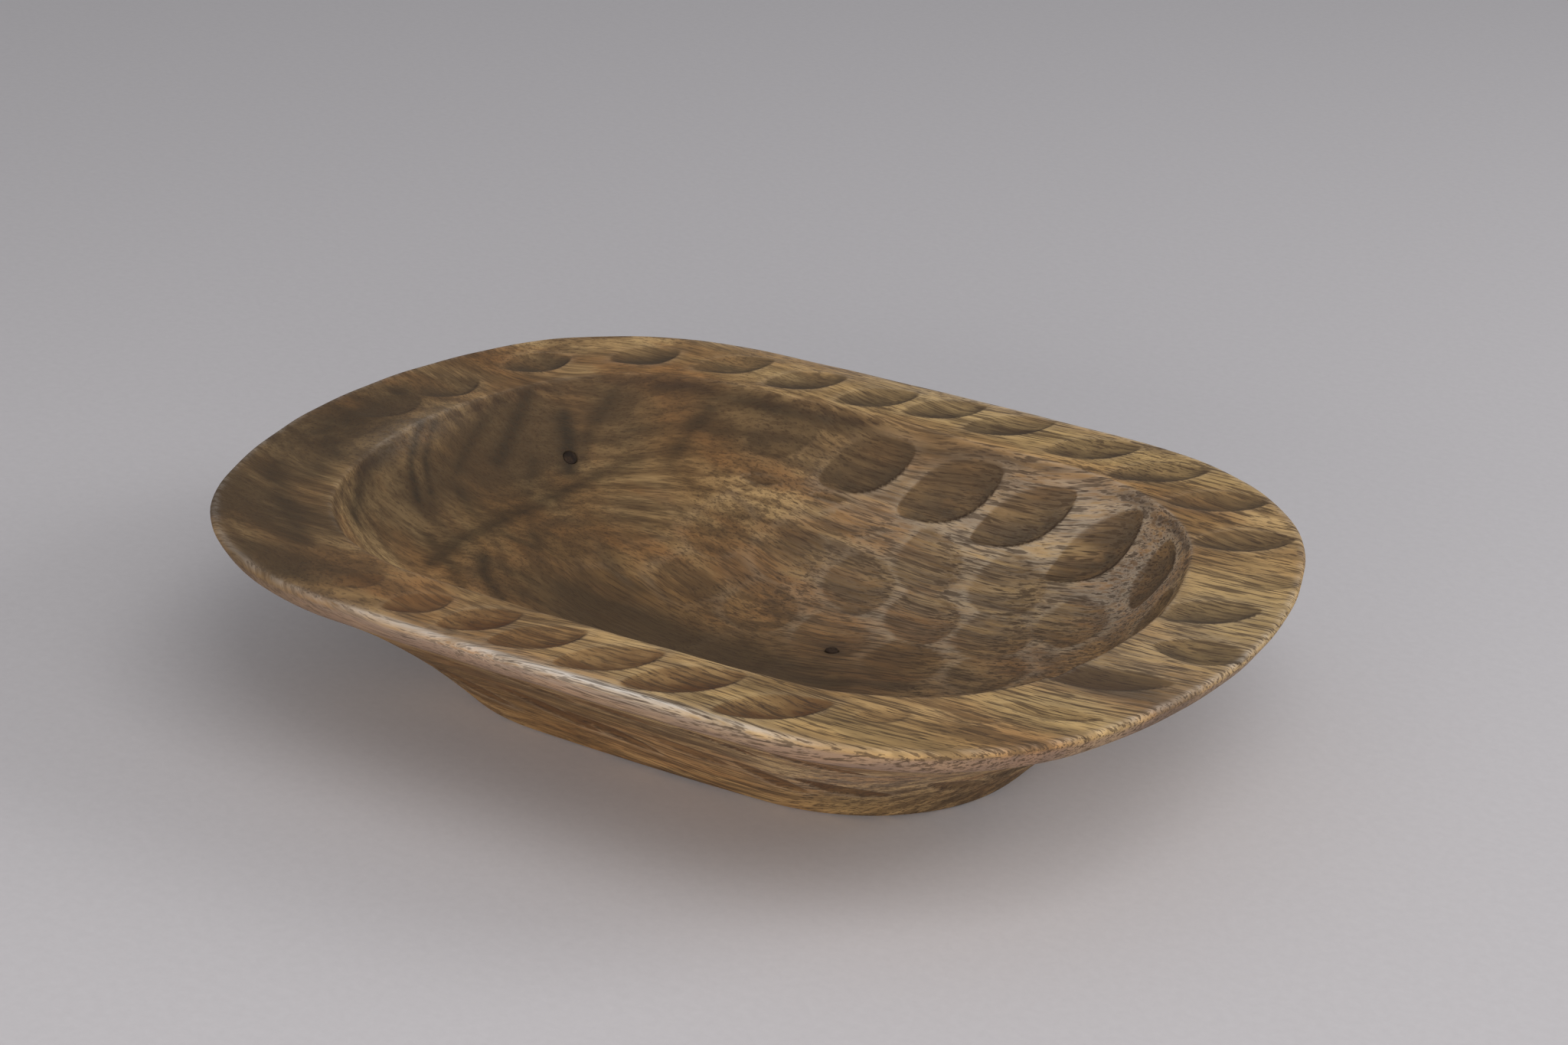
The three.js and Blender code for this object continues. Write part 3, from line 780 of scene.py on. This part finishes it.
tree.links.new(between(tree, flecks, 0.3, 0.7, 0.6, 0.85), shader.inputs["Roughness"])
shader.inputs["Specular IOR Level"].default_value = 0.15
bump = add(tree, "Bump", ("Strength", 0.6), ("Distance", 0.0003), ("Height", flecks)).outputs[0]
tree.links.new(bump, shader.inputs["Normal"])

# The plug is this much smaller than its socket all round, narrows to this share at its foot, and
# has been worn to a low crown, opened by a few checks that run in from its edge.
KNOT_GAP = 0.35
KNOT_TAPER = 0.7
KNOT_SIDES = 40
KNOT_RINGS = (0.22, 0.28, 0.3, 0.3, 0.3, 0.28)
KNOT_CHECKS = 5
CROWN_HEIGHT = 0.30
CHECK_DEPTH = 0.45
CHECK_WIDTH = 0.22
knot_rng = np.random.default_rng(5)
for name, (middle, stroke, aside, up, radius, depth) in zip(("wall_knot", "floor_knot"), sockets):
    top = radius - KNOT_GAP
    bm = bmesh.new()
    bmesh.ops.create_cone(
        bm, cap_ends=True, segments=KNOT_SIDES, radius1=top * KNOT_TAPER, radius2=top,
        depth=depth - KNOT_GAP,
    )
    crown = [f for f in bm.faces if f.normal.z > 0.9]
    for inset in KNOT_RINGS:
        bmesh.ops.inset_region(bm, faces=crown, thickness=inset * radius / 3.3)
    bmesh.ops.poke(bm, faces=crown)
    checks = knot_rng.uniform(0, 2 * math.pi, KNOT_CHECKS)
    lift = (depth - KNOT_GAP) / 2
    for v in bm.verts:
        if v.co.z < lift - 0.01:
            continue
        away = math.hypot(v.co.x, v.co.y)
        angle = math.atan2(v.co.y, v.co.x)
        split = max(
            math.exp(-(math.remainder(angle - check, 2 * math.pi) * away / CHECK_WIDTH) ** 2)
            for check in checks
        )
        v.co.z += CROWN_HEIGHT * (1 - (away / top) ** 2) - CHECK_DEPTH * split * (1 - away / top) - 0.12
    turned = Matrix((stroke, aside, up)).transposed()
    seat = middle - up * (lift + 0.15)
    for v in bm.verts:
        v.co = (np.array(turned @ v.co) + seat) * MM
    knot_mesh = bpy.data.meshes.new(name + "_plug")
    bm.to_mesh(knot_mesh)
    bm.free()
    knot_mesh.shade_smooth()
    knot_mesh.materials.append(knot_wood)
    plug = bpy.data.objects.new(name + "_plug", knot_mesh)
    bpy.context.scene.collection.objects.link(plug)
    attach(plug, "root")
    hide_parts(name)

# ---- Table ----
# The bowl stands on a wide sheet of pale matt paper, laid flat. Its fibre shows as the faintest
# mottle.
PAPER_GREY = (0.60, 0.575, 0.58, 1)
PAPER_PALE = (0.63, 0.605, 0.61, 1)
bm = bmesh.new()
bmesh.ops.create_grid(bm, x_segments=8, y_segments=8, size=6)
table_mesh = bpy.data.meshes.new("table")
bm.to_mesh(table_mesh)
bm.free()
table = bpy.data.objects.new("table", table_mesh)
bpy.context.scene.collection.objects.link(table)
paper = bpy.data.materials.new("pale_paper")
paper.use_nodes = True
tree = paper.node_tree
shader = tree.nodes["Principled BSDF"]
here = add(tree, "TexCoord").outputs["Object"]
fibre = figure(tree, here, 0.004, detail=4, rough=0.7)
colour = tint(tree, PAPER_GREY, between(tree, fibre, 0.3, 0.7), PAPER_PALE)
tree.links.new(colour, shader.inputs["Base Color"])
shader.inputs["Roughness"].default_value = 0.9
shader.inputs["Specular IOR Level"].default_value = 0.2
table_mesh.materials.append(paper)

# ---- Light ----
# A soft grey-white room, lit through three broad windows: one overhead on the near right, one low in
# front that fills the outer wall, and one high on the far right.
ROOM_TONE = (0.93, 0.95, 1.0, 1)
ROOM_STRENGTH = 0.34
world = bpy.data.worlds.new("room")
bpy.context.scene.world = world
world.use_nodes = True
world.node_tree.nodes["Background"].inputs[0].default_value = ROOM_TONE
world.node_tree.nodes["Background"].inputs[1].default_value = ROOM_STRENGTH


def window(name, at, aim, size, power, tone):
    """A broad rectangular light, set square to the line from its aim."""
    lamp = bpy.data.lights.new(name, "AREA")
    lamp.shape = "RECTANGLE"
    lamp.size, lamp.size_y = size
    lamp.energy = power
    lamp.color = tone
    placed = bpy.data.objects.new(name, lamp)
    back = (np.array(at) - np.array(aim)) / np.linalg.norm(np.array(at) - np.array(aim))
    right = np.cross((0, 0, 1), back)
    right /= np.linalg.norm(right)
    frame_of_lamp = Matrix((right, np.cross(back, right), back)).transposed().to_4x4()
    placed.matrix_world = Matrix.Translation(at) @ frame_of_lamp
    bpy.context.scene.collection.objects.link(placed)


window("window_above", (0.9, -0.6, 1.8), (0, 0, 0), (1.7, 1.3), 12, (1.0, 0.98, 0.97))
window("window_front", (0.3, -1.7, 0.35), (0, 0, 0.03), (2.2, 0.6), 22, (1.0, 0.98, 0.98))
window("window_right", (1.7, 1.1, 1.1), (0, 0, 0), (1.0, 0.8), 15, (0.97, 0.98, 1.0))

bpy.context.scene.view_settings.view_transform = "Standard"
bpy.context.scene.view_settings.look = "None"
